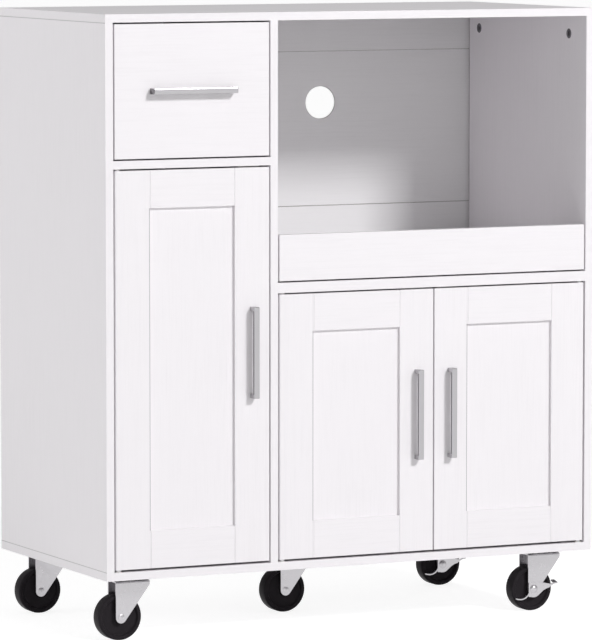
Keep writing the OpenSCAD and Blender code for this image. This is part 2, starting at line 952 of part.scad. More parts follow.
// The four screw holes of a caster's plate, upwards from z = 0
module plate_holes(d, l) {
    for (x = [-plate_hole, plate_hole], y = [-plate_hole, plate_hole]) {
        translate([x, y, 0]) cylinder(d = d, h = l);
    }
}

// The fixed part: plate with its pressed race, and the rivet that the fork turns on
module caster_plate() {
    half = plate_w / 2;
    near = half - plate_corner;
    difference() {
        translate([0, 0, caster_h - plate_t])
        linear_extrude(height = plate_t)
        polygon([
            [-half, -near], [-near, -half], [near, -half], [half, -near],
            [half, near], [near, half], [-near, half], [-half, near]
        ]);
        translate([0, 0, caster_h - plate_t - cut]) plate_holes(wood_screw_d, plate_t + 2 * cut);
    }
    translate([0, 0, caster_h - plate_t - race_t]) cylinder(d = race_d, h = race_t);
    translate([0, 0, fork_z - fork_t - 0.5]) cylinder(d = kingpin_d, h = caster_h - fork_z);
    translate([0, 0, fork_z - fork_t - 0.5 - kingpin_head_t]) cylinder(d = kingpin_head_d, h = kingpin_head_t);
}

module caster_plates() {
    color(zinc_steel) for (i = [0 : 4]) at_caster(i) caster_plate();
}

module caster_screws() {
    head_d = 7.5;
    head_t = 1.8;
    color(zinc_steel)
    for (i = [0 : 4]) {
        at_caster(i) {
            translate([0, 0, caster_h - plate_t]) plate_holes(wood_screw_d, plate_t + wood_screw_l);
            difference() {
                translate([0, 0, caster_h - plate_t - head_t]) plate_holes(head_d, head_t);
                for (x = [-plate_hole, plate_hole], y = [-plate_hole, plate_hole]) {
                    translate([x, y, caster_h - plate_t - head_t]) mirror([0, 0, 1]) cross_recess(4);
                }
            }
        }
    }
}

// The side outline of the fork: upright tail edge, round nose at the axle, sloping front edge
module fork_outline() {
    front_x = fork_len - fork_tail;
    front_drop = 6.5;
    run = front_x + trail;
    drop = fork_z - front_drop - axle_z;
    slope = atan2(run, drop);
    lean = slope - asin(fork_nose_r / norm([run, drop]));
    union() {
        polygon([
            [-fork_tail, fork_z], [front_x, fork_z], [front_x, fork_z - front_drop],
            [-trail + fork_nose_r * cos(lean), axle_z - fork_nose_r * sin(lean)],
            [-trail, axle_z], [-fork_tail, axle_z]
        ]);
        translate([-trail, axle_z]) circle(r = fork_nose_r);
    }
}

// The folded section of the fork: a top with two legs and rounded bends
module fork_section() {
    half = fork_w / 2;
    difference() {
        union() {
            translate([-half, 0]) square([fork_w, fork_z - bend_r]);
            translate([bend_r - half, 0]) square([fork_w - 2 * bend_r, fork_z]);
            for (side = [-1, 1]) {
                translate([side * (half - bend_r), fork_z - bend_r]) circle(r = bend_r);
            }
        }
        translate([fork_t - half, -cut]) square([fork_w - 2 * fork_t, fork_z - fork_t + cut]);
    }
}

module fork() {
    difference() {
        union() {
            intersection() {
                translate([-fork_len, 0, 0])
                rotate([90, 0, 90])
                linear_extrude(height = 2 * fork_len) fork_section();
                translate([0, fork_w, 0])
                rotate([90, 0, 0])
                linear_extrude(height = 2 * fork_w) fork_outline();
            }
            difference() {
                translate([0, 0, fork_z - fork_t]) cylinder(d = cup_d, h = cup_rise + fork_t);
                translate([0, 0, fork_z]) cylinder(d = cup_d - 2 * cup_t, h = cup_rise + cut);
            }
        }
        translate([0, 0, fork_z - fork_t - cut]) cylinder(d = kingpin_d + 2 * swivel_play, h = fork_t + 2 * cut);
        translate([-trail, -fork_w, axle_z]) along_y(axle_d, 2 * fork_w);
    }
}

// The axle rivet, with a domed head in front and a flat one behind; out makes room for a lever
module axle(out) {
    head_d = out > 0 ? 12.5 : 10;
    head_t = out > 0 ? 3 : 1.4;
    dome_r = out > 0 ? 8.2 : 14;
    flat_t = 1.6;
    half = fork_w / 2;
    translate([-trail, 0, axle_z])
    rotate([90, 0, 0]) {
        translate([0, 0, -half]) cylinder(d = axle_d, h = fork_w + out);
        translate([0, 0, -half - flat_t]) cylinder(d = 9, h = flat_t);
        intersection() {
            translate([0, 0, half + out]) cylinder(d = head_d, h = head_t);
            translate([0, 0, half + out + head_t - dome_r]) sphere(r = dome_r);
        }
    }
}

// The wheel: a moulded disc with a rounded tread, a rim, a sunk web and a hub
module wheel() {
    r = wheel_d / 2;
    half = wheel_w / 2;
    tread_r = 2;
    rim_r = r - 5.5;
    web_half = half - 4;
    hub_r = 8;
    hub_half = fork_w / 2 - fork_t - 0.4;
    bore_r = axle_d / 2 + axle_play;
    translate([-trail, 0, axle_z])
    rotate([90, 0, 0])
    rotate_extrude($fn = 96)
    union() {
        translate([bore_r, -web_half]) square([r - tread_r - bore_r, 2 * web_half]);
        translate([rim_r, -half]) square([r - tread_r - rim_r, wheel_w]);
        translate([r - tread_r - cut, tread_r - half]) square([tread_r + cut, wheel_w - 2 * tread_r]);
        translate([bore_r, -hub_half]) square([hub_r - bore_r, 2 * hub_half]);
        for (side = [-1, 1]) {
            translate([r - tread_r, side * (half - tread_r)]) circle(r = tread_r);
        }
    }
}

// The rocking brake lever beside the near leg: plate on the axle, arm with the tilted pedal on
// one side of the wheel and a hooked tail with a turned-in flange on the other
module brake_lever() {
    eye_r = 13;
    eye_left = 8.5;
    eye_top = 9.7;
    pedal_x = wheel_d / 2 + 1.2;
    pedal_l = 5.6;
    pedal_reach = 12.5;
    pedal_tilt = 26;
    pedal_z = 3.6;
    tip_x = -28.5;
    flange = fork_w / 2 - wheel_w / 2 - 0.3;
    translate([-trail, -fork_w / 2 - lever_air, axle_z]) {
        difference() {
            rotate([90, 0, 0])
            linear_extrude(height = lever_t)
            union() {
                intersection() {
                    circle(r = eye_r);
                    translate([-eye_left, -eye_r - cut]) square([2 * eye_r, eye_r + cut + eye_top]);
                }
                polygon([
                    [0, 0], [6, eye_top], [17, 8.4], [29, 5.8], [pedal_x + 1, pedal_z + 2],
                    [pedal_x + 1, pedal_z], [30, 2.6], [26.5, 0.4], [21.5, -0.9], [16.5, -3.4], [9, -9.4]
                ]);
                polygon([[-eye_left, -4], [-eye_left, -eye_r + 1], [-4, -12.4], [0, -4]]);
                hook_band(tip_x, -7);
            }
            translate([0, -lever_t - cut, 0]) along_y(axle_d + 0.2, lever_t + 2 * cut);
        }
        translate([pedal_x, -lever_t, pedal_z])
        rotate([pedal_tilt, 0, 0]) cube([pedal_l, pedal_reach, lever_t]);
        translate([0, flange, 0])
        rotate([90, 0, 0])
        linear_extrude(height = flange + lever_t) hook_band(tip_x, -11);
    }
}

// The tail of the brake lever: a band on an arc under the wheel's axle, from x0 to x1
module hook_band(x0, x1) {
    inner_r = 19.2;
    intersection() {
        translate([-26.2, 1.8])
        difference() {
            circle(r = inner_r + lever_t);
            circle(r = inner_r);
        }
        translate([x0, -20]) square([x1 - x0, 20]);
    }
}

module caster_fork(i) {
    color(zinc_steel) at_caster(i) fork();
}

module caster_axle(i, out) {
    color(zinc_steel) at_caster(i) axle(out);
}

module caster_wheel(i) {
    color(black_wheel) at_caster(i) wheel();
}

module caster_brake(i) {
    color(zinc_steel) at_caster(i) brake_lever();
}

brake_room = lever_t + 2 * lever_air;

top_panel();
bottom_panel();
left_side_panel();
right_side_panel();
partition();
drawer_divider();
microwave_shelf();
back_board_upper();
back_board_cable();
back_board_lower();
back_board_left();
tall_cupboard_shelf();
wide_cupboard_shelf();
shelf_pins();
cam_locks();
cam_bolts();
pivot_bushes();
magnetic_catches();
cabinet_runners();
caster_plates();
caster_screws();
drawer_front();
drawer_sides();
drawer_back();
drawer_bottom();
drawer_handle();
drawer_screws();
drawer_runners();
tray_front();
tray_board();
tray_runners();
tall_door_frame();
tall_door_panel();
tall_door_handle();
tall_door_fittings();
left_door_frame();
left_door_panel();
left_door_handle();
left_door_fittings();
right_door_frame();
right_door_panel();
right_door_handle();
right_door_fittings();
caster_fork(0);  // front_left_fork
caster_axle(0, 0);  // front_left_axle
caster_wheel(0);  // front_left_wheel
caster_fork(1);  // front_right_fork
caster_axle(1, brake_room);  // front_right_axle
caster_wheel(1);  // front_right_wheel
caster_brake(1);  // front_right_brake
caster_fork(2);  // centre_fork
caster_axle(2, 0);  // centre_axle
caster_wheel(2);  // centre_wheel
caster_fork(3);  // rear_left_fork
caster_axle(3, 0);  // rear_left_axle
caster_wheel(3);  // rear_left_wheel
caster_fork(4);  // rear_right_fork
caster_axle(4, brake_room);  // rear_right_axle
caster_wheel(4);  // rear_right_wheel
caster_brake(4);  // rear_right_brake
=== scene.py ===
import math

import bmesh
import bpy
import numpy as np
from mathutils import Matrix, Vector


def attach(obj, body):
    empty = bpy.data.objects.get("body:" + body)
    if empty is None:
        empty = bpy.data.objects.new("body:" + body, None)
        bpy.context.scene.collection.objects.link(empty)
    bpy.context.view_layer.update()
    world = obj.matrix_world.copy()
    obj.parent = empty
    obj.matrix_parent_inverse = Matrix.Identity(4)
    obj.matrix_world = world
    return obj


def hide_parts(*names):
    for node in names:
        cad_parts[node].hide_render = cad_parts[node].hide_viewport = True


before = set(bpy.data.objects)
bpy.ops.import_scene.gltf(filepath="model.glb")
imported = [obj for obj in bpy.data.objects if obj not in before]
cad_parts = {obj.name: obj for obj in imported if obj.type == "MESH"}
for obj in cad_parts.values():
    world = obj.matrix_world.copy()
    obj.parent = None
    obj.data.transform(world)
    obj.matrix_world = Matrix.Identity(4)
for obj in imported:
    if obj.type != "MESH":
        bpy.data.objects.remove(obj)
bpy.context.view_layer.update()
scene = bpy.context.scene
mm = 0.001


# ---- Carcass boards ----
# Particle board, 12 mm thick and 15 mm under the bay, faced on both sides with white foil
# that is embossed like fine ash grain. The sawn edges carry a glued edge band, so every
# visible arris is eased by a quarter of a millimetre. Cam bolts pull the boards together.

def linear(hex_colour):
    """sRGB hex to linear RGBA: each channel c becomes ((c + 0.055) / 1.055) ** 2.4, or
    c / 12.92 where c is 0.04045 or less."""
    channels = [int(hex_colour[i:i + 2], 16) / 255 for i in (1, 3, 5)]
    return [c / 12.92 if c <= 0.04045 else ((c + 0.055) / 1.055) ** 2.4
            for c in channels] + [1.0]


def add(tree, kind, settings=(), **links):
    """Adds a node of that kind. settings sets its properties, or its sockets by name;
    links joins a socket, named with _ for a space, to another node's output."""
    node = tree.nodes.new(kind)
    for name, value in dict(settings).items():
        if hasattr(node, name):
            setattr(node, name, value)
        else:
            node.inputs[name].default_value = value
    for name, source in links.items():
        tree.links.new(source, node.inputs[name.replace("_", " ")])
    return node


def new_material(name):
    """A material with one Principled shader, given back with its tree and that shader."""
    material = bpy.data.materials.new(name)
    material.use_nodes = True
    return material, material.node_tree, material.node_tree.nodes["Principled BSDF"]


# A Mix node has a socket A, B and Result for each kind of data, so they go by their place.
colour_a, colour_b, colour_result = 6, 7, 2


def embossed_foil(name, grain, face="#EFECEF", pore="#E9E6E9"):
    """Decor foil, embossed with ash grain along the axis named grain and glued on board. It
    gives the eye a soft satin white, broken along the grain by faint pores that come and go
    in patches. The pores of the real foil are 25 to 90 mm long and about 0.5 mm apart; they
    are drawn 2.2 mm apart so that they show."""
    pore_length, pore_pitch, pore_depth, patch = 70 * mm, 2.2 * mm, 0.15 * mm, 1000 * mm / 9
    material, tree, shader = new_material(name)
    scale = [1 / (pore_length if axis == grain else pore_pitch) for axis in "XYZ"]
    place = add(tree, "ShaderNodeTexCoord")
    stretched = add(tree, "ShaderNodeMapping", {"Scale": scale}, Vector=place.outputs["Object"])
    pores = add(tree, "ShaderNodeTexNoise", {"Scale": 1.0, "Detail": 3.0, "Roughness": 0.6},
                Vector=stretched.outputs["Vector"])
    cloud = add(tree, "ShaderNodeTexNoise", {"Scale": 1 / patch, "Detail": 2.0},
                Vector=place.outputs["Object"])
    lines = add(tree, "ShaderNodeMapRange", {"From Min": 0.45, "From Max": 0.75},
                Value=pores.outputs["Fac"])
    broken = add(tree, "ShaderNodeMath", {"operation": "MULTIPLY"})
    tree.links.new(lines.outputs["Result"], broken.inputs[0])
    tree.links.new(cloud.outputs["Fac"], broken.inputs[1])
    tint = add(tree, "ShaderNodeMix", {"data_type": "RGBA"}, Factor=broken.outputs[0])
    tint.inputs[colour_a].default_value = linear(face)
    tint.inputs[colour_b].default_value = linear(pore)
    tree.links.new(tint.outputs[colour_result], shader.inputs["Base Color"])
    shader.inputs["Roughness"].default_value = 0.42
    shader.inputs["Specular IOR Level"].default_value = 0.25
    relief = add(tree, "ShaderNodeBump",
                 {"Strength": 0.25, "Distance": pore_depth, "invert": True},
                 Height=broken.outputs[0])
    tree.links.new(relief.outputs["Normal"], shader.inputs["Normal"])
    return material


def dressed(node, body, material, ease, steps=2, turn=32):
    """A copy of a CAD node as one closed mesh: its loose triangles are merged and the flat
    ones joined, and a live Bevel eases each edge sharper than turn degrees by ease mm."""
    same_point, flat_within = 0.002 * mm, 0.6
    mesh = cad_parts[node].data.copy()
    work = bmesh.new()
    work.from_mesh(mesh)
    bmesh.ops.remove_doubles(work, verts=work.verts, dist=same_point)
    bmesh.ops.dissolve_limit(work, angle_limit=math.radians(flat_within),
                             verts=work.verts, edges=work.edges)
    for face in work.faces:
        face.smooth = True
    for edge in work.edges:
        edge.smooth = edge.is_manifold and edge.calc_face_angle(0) < math.radians(turn)
    work.to_mesh(mesh)
    work.free()
    mesh.materials.clear()
    mesh.materials.append(material)
    piece = bpy.data.objects.new("dressed_" + node, mesh)
    scene.collection.objects.link(piece)
    if ease:
        bevel = piece.modifiers.new("eased_edges", "BEVEL")
        bevel.width = ease * mm
        bevel.segments = steps
        bevel.limit_method = "ANGLE"
        bevel.angle_limit = math.radians(turn)
        bevel.harden_normals = True
    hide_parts(node)
    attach(piece, body)
    return piece


def places_of(piece):
    """Where the piece's vertices are, as an array with a row of x, y and z for each."""
    places = np.empty(3 * len(piece.data.vertices), np.float32)
    piece.data.vertices.foreach_get("co", places)
    return places.reshape(-1, 3).astype(float)


def score(work, point, direction, reach=0.01 * mm):
    """Cuts every face along the plane through point square to direction. A vertex within
    reach of the plane counts as on it."""
    bmesh.ops.bisect_plane(work, geom=work.verts[:] + work.edges[:] + work.faces[:],
                           dist=reach, plane_co=point, plane_no=direction)


# The slots for the back boards, 190.1 mm behind the middle, have their front lip broken back by
# 6 mm in the uprights, which shows as a dark line down each rear corner. The side panels stand
# between the top and the bottom. Where they butt, the outside is painted darker grey for 1.2
# mm, a painted shade that gives the eye the fine grey line of the joint. A face looks along an
# axis where its normal's share on that axis is more than facing.
slot_front, slot_lip, butt_line = 190.1 * mm, 6 * mm, 1.2 * mm
on_plane, facing = 0.01 * mm, 0.9
butt_joint_shade = embossed_foil("painted_shade_at_the_butt_joint", "Y", face="#C2C0C2", pore="#BAB8BA")
foil = {axis: embossed_foil("embossed_white_foil_" + axis.lower(), axis) for axis in "XYZ"}
for node, grain in (("top_panel", "X"), ("bottom_panel", "X"), ("left_side_panel", "Z"),
                    ("right_side_panel", "Z"), ("partition", "Z"), ("drawer_divider", "X"),
                    ("microwave_shelf", "X"), ("tall_cupboard_shelf", "X"),
                    ("wide_cupboard_shelf", "X")):
    board = dressed(node, "cabinet", foil[grain], ease=0.25)
    if grain == "Z":
        places = places_of(board)
        places[np.abs(places[:, 1] - slot_front) < on_plane, 1] -= slot_lip
        board.data.vertices.foreach_set("co", places.ravel())
    if node.endswith("side_panel"):
        board.data.materials.append(butt_joint_shade)
        foot, head = places[:, 2].min(), places[:, 2].max()
        work = bmesh.new()
        work.from_mesh(board.data)
        for seam in (foot + butt_line, head - butt_line):
            score(work, (0, 0, seam), (0, 0, 1))
        for face in work.faces:
            middle = face.calc_center_median()
            outside = face.normal.x * middle.x > 0 and abs(face.normal.x) > facing
            at_an_end = not foot + butt_line < middle.z < head - butt_line
            # Outside faces within butt_line of either end get the painted shade of the joint.
            face.material_index = int(outside and at_an_end)
        work.to_mesh(board.data)
        work.free()


# ---- Back boards ----
# Hard fibre board, 3 mm, white foil on both faces, slid into grooves 14 mm in front of
# the rear edges. Three stand over each other behind the bay and the wide cupboard; the
# middle one has the cable hole. The joints, 598 and 837 mm up, and the hole are cut a
# little higher here, where the photograph has them.

# The thin foil is painted a little greyer than the boards' foil, a painted shade that darkens
# the back of the bay. The sawn edges are bare fibre, brown grey, and give the eye a thin dark
# rim round the hole and along the joints.
back_foil_painted_shade = embossed_foil("thin_foil_painted_shade", "X", face="#E5E4E5", pore="#E0DFE0")
sawn_fibre = embossed_foil("sawn_fibre_edge", "X", face="#8F8A87", pore="#7C7774")
board_joints, joint_rise, joint_reach = np.array([598, 837]) * mm, 2.9 * mm, 1 * mm
hole_shift, hole_margin = np.array([-1.1, 0, 1.8]) * mm, 5 * mm
for node in ("back_board_upper", "back_board_cable", "back_board_lower", "back_board_left"):
    back_board = dressed(node, "cabinet", back_foil_painted_shade, ease=0.5, steps=1)
    places = places_of(back_board)
    from_middle = np.abs(places - (places.min(0) + places.max(0)) / 2)[:, [0, 2]]
    around_hole = (from_middle < from_middle.max(0) - hole_margin).all(1)
    at_joint = (np.abs(places[:, 2, None] - board_joints) < joint_reach).any(1)
    places[at_joint, 2] += joint_rise
    places[around_hole] += hole_shift
    back_board.data.vertices.foreach_set("co", places.ravel())
    back_board.data.materials.append(sawn_fibre)
    back_board.modifiers["eased_edges"].material = 1


# ---- Cam fittings and shelf pins ----
# Zinc die-cast cams, dull dark grey, sit flush in 15 mm bores and grip zinc-plated steel
# bolts. The loose shelves lie on plated spade pins pushed into 5 mm holes.

def grey_metal(name, colour, roughness, fleck_mm, spread=0.08):
    """Metal with an even finish whose roughness wanders by spread over flecks of that size,
    which gives the eye a sheen that is never quite even."""
    material, tree, shader = new_material(name)
    place = add(tree, "ShaderNodeTexCoord")
    flecks = add(tree, "ShaderNodeTexNoise", {"Scale": 1 / (fleck_mm * mm), "Detail": 3.0},
                 Vector=place.outputs["Object"])
    wander = add(tree, "ShaderNodeMapRange",
                 {"To Min": roughness - spread, "To Max": roughness + spread},
                 Value=flecks.outputs["Fac"])
    tree.links.new(wander.outputs["Result"], shader.inputs["Roughness"])
    relief = add(tree, "ShaderNodeBump", {"Strength": 0.1, "Distance": 0.02 * mm},
                 Height=flecks.outputs["Fac"])
    tree.links.new(relief.outputs["Normal"], shader.inputs["Normal"])
    shader.inputs["Base Color"].default_value = linear(colour)
    shader.inputs["Metallic"].default_value = 1.0
    return material


# Zinc straight from the die is dull and dark, with a fine skin. Clear zinc plating on
# pressed steel is pale and bright, with a sheen that wanders over 3 mm.
die_cast = grey_metal("dull_die_cast_zinc", "#7C7A7E", roughness=0.5, fleck_mm=1.5)
zinc_plate = grey_metal("bright_zinc_plate", "#C5C3C6", roughness=0.3, fleck_mm=3.0)
dressed("cam_locks", "cabinet", die_cast, ease=0.2, steps=1)
dressed("cam_bolts", "cabinet", zinc_plate, ease=0)
dressed("shelf_pins", "cabinet", zinc_plate, ease=0.15, steps=1)


# ---- Pivot bushes and magnetic catches ----
# Moulded white nylon: flanged bushes pressed into the boards above and below each hinge
# stile, and catch housings screwed up under the divider and the shelf.

# The eroded mould leaves nine shallow pits in each 10 mm of the nylon. With the light
# that goes a millimetre into it, they give the eye a soft, waxy white.
nylon_pitch, nylon_pit_depth = 10 * mm / 9, 0.03 * mm
nylon, nylon_tree, nylon_shader = new_material("moulded_white_nylon")
nylon_place = add(nylon_tree, "ShaderNodeTexCoord")
nylon_haze = add(nylon_tree, "ShaderNodeTexNoise", {"Scale": 1 / nylon_pitch, "Detail": 2.0},
                 Vector=nylon_place.outputs["Object"])
nylon_relief = add(nylon_tree, "ShaderNodeBump",
                   {"Strength": 0.15, "Distance": nylon_pit_depth},
                   Height=nylon_haze.outputs["Fac"])
nylon_tree.links.new(nylon_relief.outputs["Normal"], nylon_shader.inputs["Normal"])
nylon_shader.inputs["Base Color"].default_value = linear("#E4E3E0")
nylon_shader.inputs["Roughness"].default_value = 0.5
nylon_shader.inputs["Subsurface Weight"].default_value = 0.1
nylon_shader.inputs["Subsurface Scale"].default_value = 1.0 * mm
dressed("pivot_bushes", "cabinet", nylon, ease=0.15, steps=1)
dressed("magnetic_catches", "cabinet", nylon, ease=0.4)


# ---- Drawer ----
# A plain 12 mm front over a box of 12 mm sides and back, with a 3 mm floor in grooves.
# It hangs on a pair of full steel runners.

dressed("drawer_front", "drawer", foil["X"], ease=0.25)
dressed("drawer_sides", "drawer", foil["Y"], ease=0.5)
dressed("drawer_back", "drawer", foil["X"], ease=0.5)
dressed("drawer_bottom", "drawer", back_foil_painted_shade, ease=0)
dressed("drawer_screws", "drawer", zinc_plate, ease=0.2)


# ---- Pull-out tray ----
# The board that carries the oven, with a low front and no handle: the front's top edge
# is pulled. It runs on its own pair of runners just above the fixed shelf.

dressed("tray_front", "tray", foil["X"], ease=0.25)
dressed("tray_board", "tray", foil["X"], ease=0.5)


# ---- Runners ----
# Cold-rolled steel channels, clear zinc plated. The cabinet's channel is open towards
# the drawer and the hat-shaped member slides inside it.

for node, body in (("cabinet_runners", "cabinet"), ("drawer_runners", "drawer"),
                   ("tray_runners", "tray")):
    dressed(node, body, zinc_plate, ease=0.3)


# ---- Framed doors ----
# Stiles and rails of 12 mm board wrapped in foil, joined with a fine V groove at each
# stile, round a thin centre panel set back 5 mm. Each door turns on steel pins in its
# hinge stile and is held by a magnet on a strike plate.

# The arris of the left stile along the panel turns away from the light; a 1 mm strip of it is
# painted grey, a painted shade that gives the eye a fine grey line. Beside the rails the same
# strip is painted a much fainter shade along the joint.
stile, arris = 55 * mm, 1.0 * mm
arris_shade = embossed_foil("painted_shade_at_the_arris", "Z", face="#A5A3A7", pore="#9C9A9E")
shade_beside_rails = embossed_foil("painted_shade_beside_the_rails", "Z", face="#E5E2E5", pore="#DFDCDF")
on_rail, on_arris_shade, on_joint_shade = 1, 2, 3
for door in ("tall_door", "left_door", "right_door"):
    wrapped = dressed(door + "_frame", door, foil["Z"], ease=0.25, turn=40)
    for material in (foil["X"], arris_shade, shade_beside_rails):
        wrapped.data.materials.append(material)
    places = places_of(wrapped)
    (left_end, _, foot), (right_end, _, head) = places.min(0), places.max(0)
    upright_seams = (left_end + stile - arris, left_end + stile,
                     right_end - stile, right_end - stile + arris)
    level_seams = (foot + stile, head - stile)
    work = bmesh.new()
    work.from_mesh(wrapped.data)
    for direction, seams in (((1, 0, 0), upright_seams), ((0, 0, 1), level_seams)):
        for seam in seams:
            score(work, Vector(direction) * seam, direction)
    for face in work.faces:
        middle = face.calc_center_median()
        from_joint = min(middle.x - left_end, right_end - middle.x) - stile
        if from_joint > 0:
            face.material_index = on_rail
        # Front faces within arris of the stile's inner edge get the painted shade: the faint
        # one beside the rails, the grey one on the left stile.
        elif from_joint > -arris and face.normal.y < -facing:
            if min(middle.z - foot, head - middle.z) < stile:
                face.material_index = on_joint_shade
            elif middle.x < (left_end + right_end) / 2:
                face.material_index = on_arris_shade
    work.to_mesh(wrapped.data)
    work.free()
    dressed(door + "_panel", door, foil["Z"], ease=0)
    dressed(door + "_fittings", door, zinc_plate, ease=0.2, steps=1)


# ---- Handles ----
# Die-cast bars of 8.5 by 5 mm on two legs, satin nickel plated. The satin is brushed
# along the bar, which leaves fine lengthwise lines.

def brushed_nickel(name, length_axis, colour="#B9B7BA"):
    """Satin nickel with brush lines 12 mm long and 0.25 mm apart, along length_axis. They
    give the eye a soft light, drawn out across the bar."""
    line_length, line_pitch = 12 * mm, 0.25 * mm
    material, tree, shader = new_material(name)
    scale = [1 / (line_length if axis == length_axis else line_pitch) for axis in "XYZ"]
    place = add(tree, "ShaderNodeTexCoord")
    stretched = add(tree, "ShaderNodeMapping", {"Scale": scale}, Vector=place.outputs["Object"])
    lines = add(tree, "ShaderNodeTexNoise", {"Scale": 1.0, "Detail": 2.0},
                Vector=stretched.outputs["Vector"])
    sheen = add(tree, "ShaderNodeMapRange", {"To Min": 0.3, "To Max": 0.42},
                Value=lines.outputs["Fac"])
    tree.links.new(sheen.outputs["Result"], shader.inputs["Roughness"])
    relief = add(tree, "ShaderNodeBump", {"Strength": 0.06, "Distance": 0.02 * mm},
                 Height=lines.outputs["Fac"])
    tree.links.new(relief.outputs["Normal"], shader.inputs["Normal"])
    shader.inputs["Base Color"].default_value = linear(colour)
    shader.inputs["Metallic"].default_value = 1.0
    return material


def bar_handle(door, length_axis):
    """The CAD handle with its bar's face made of three facets along it: the outer edges of
    the face, 4.25 mm from its middle, go back by slope, and the outer facets are as wide
    as facet says. The sides of an upright bar between its legs, and the ends of a level one,
    are painted a darker grey, a painted shade that stands in for the dark reflection on them."""
    facet, slope, leg = 1.5 * mm, 0.55 * mm, 6 * mm
    on_edge, sideways, sharp = 0.01 * mm, 0.7, math.radians(5)
    handle = dressed(door + "_handle", door, nickel[length_axis], ease=0.5)
    handle.data.materials.append(painted_side_shade)
    across, along = (0, 2) if length_axis == "Z" else (2, 0)
    work = bmesh.new()
    work.from_mesh(handle.data)
    ends = [f(v.co[across] for v in work.verts) for f in (min, max)]
    front = min(v.co.y for v in work.verts)
    tips = [f(v.co[along] for v in work.verts) for f in (min, max)]
    for axis, limits, inset in ((across, ends, facet), (along, tips, leg)):
        direction = Vector((axis == 0, 0, axis == 2))
        for line in (limits[0] + inset, limits[1] - inset):
            score(work, direction * line, direction, reach=0.001 * mm)
    for v in work.verts:
        if v.co.y < front + on_edge and min(abs(v.co[across] - end) for end in ends) < on_edge:
            v.co.y += slope
    work.normal_update()
    for edge in work.edges:
        edge.smooth = edge.calc_face_angle(0) < sharp
    for face in work.faces:
        middle = face.calc_center_median()[along]
        between_legs = tips[0] + leg < middle < tips[1] - leg
        # Sideways faces get the painted shade that stands in for their dark reflection.
        gets_side_shade = abs(face.normal.x) > sideways
        face.material_index = int(gets_side_shade and (across == 2 or between_legs))
    work.to_mesh(handle.data)
    work.free()


# The plating is pale on the brushed face; the sideways faces are painted darker, a painted
# shade that stands in for the dark reflection on them.
nickel = {axis: brushed_nickel("satin_nickel_" + axis.lower(), axis) for axis in "XZ"}
painted_side_shade = brushed_nickel("satin_nickel_painted_side_shade", "Y", colour="#8A888B")
bar_handle("drawer", "X")
for door in ("tall_door", "left_door", "right_door"):
    bar_handle(door, "Z")


# ---- Casters ----
# Pressed steel plate, ball race and fork, bright zinc plated, on a riveted axle. The
# wheel is one moulding of black polypropylene with a sunk web inside a raised rim.

# Black polypropylene from an eroded mould, with seven pits in each 5 mm: it gives the eye
# a near black with hardly any gloss.
wheel_pitch, wheel_pit_depth = 5 * mm / 7, 0.05 * mm
black_moulding, moulding_tree, moulding_shader = new_material("black_polypropylene")
moulding_place = add(moulding_tree, "ShaderNodeTexCoord")
moulding_grain = add(moulding_tree, "ShaderNodeTexNoise",
                     {"Scale": 1 / wheel_pitch, "Detail": 2.0},
                     Vector=moulding_place.outputs["Object"])
moulding_relief = add(moulding_tree, "ShaderNodeBump",
                      {"Strength": 0.3, "Distance": wheel_pit_depth},
                      Height=moulding_grain.outputs["Fac"])
moulding_tree.links.new(moulding_relief.outputs["Normal"], moulding_shader.inputs["Normal"])
moulding_shader.inputs["Base Color"].default_value = linear("#2A272A")
moulding_shader.inputs["Roughness"].default_value = 0.35
moulding_shader.inputs["IOR"].default_value = 1.49
moulding_shader.inputs["Specular IOR Level"].default_value = 0.03


def rounded(corners, radii, parts=5):
    """A closed outline with each corner made an arc. With unit vectors a and b from corner
    p to its neighbours and half the angle between them h, the arc of radius r starts at
    p + a r / tan h, ends at p + b r / tan h and has its centre at
    p + (a + b) / |a + b| r / sin h."""
    p, r = np.array(corners, float), np.array(radii, float)[:, None]
    a, b = np.roll(p, 1, 0) - p, np.roll(p, -1, 0) - p
    a, b = a / np.linalg.norm(a, axis=1)[:, None], b / np.linalg.norm(b, axis=1)[:, None]
    h = np.arccos(np.clip((a * b).sum(1), -1, 1))[:, None] / 2
    centre = p + (a + b) / np.linalg.norm(a + b, axis=1)[:, None] * r / np.sin(h)
    start, end = p + a * r / np.tan(h) - centre, p + b * r / np.tan(h) - centre
    first, last = np.arctan2(start[:, 1], start[:, 0]), np.arctan2(end[:, 1], end[:, 0])
    sweep = (last - first + np.pi) % (2 * np.pi) - np.pi
    angle = first[:, None] + sweep[:, None] * np.linspace(0, 1, parts)
    arcs = np.stack([np.cos(angle), np.sin(angle)], 2)
    return (centre[:, None] + r[:, None] * arcs).reshape(-1, 2)


def turned(name, outline, centre, steps=96):
    """A ring turned from a closed outline of (radius, distance along Y) in mm about the Y
    axis through centre: x = radius cos t, y = distance, z = radius sin t for t once round."""
    t = np.linspace(0, 2 * np.pi, steps, endpoint=False)[:, None]
    radius, along = outline[:, 0] * mm, outline[:, 1] * mm
    points = np.stack([radius * np.cos(t), along + 0 * t, radius * np.sin(t)], 2)
    points = points + np.array(centre)
    i, j = np.meshgrid(np.arange(steps), np.arange(len(outline)), indexing="ij")
    i2, j2 = (i + 1) % steps, (j + 1) % len(outline)
    quads = np.stack([i * len(outline) + j, i2 * len(outline) + j, i2 * len(outline) + j2,
                      i * len(outline) + j2], 2).reshape(-1, 4)
    mesh = bpy.data.meshes.new(name)
    mesh.from_pydata(points.reshape(-1, 3).tolist(), [], quads.tolist())
    work = bmesh.new()
    work.from_mesh(mesh)
    bmesh.ops.recalc_face_normals(work, faces=work.faces)
    work.to_mesh(mesh)
    work.free()
    mesh.shade_smooth()
    piece = bpy.data.objects.new(name, mesh)
    scene.collection.objects.link(piece)
    return piece


def part_of(piece, material, inside):
    """Gives a material to the faces whose middle and normal the function inside accepts."""
    piece.data.materials.append(material)
    for face in piece.data.polygons:
        if inside(face.center, face.normal):
            face.material_index = 1


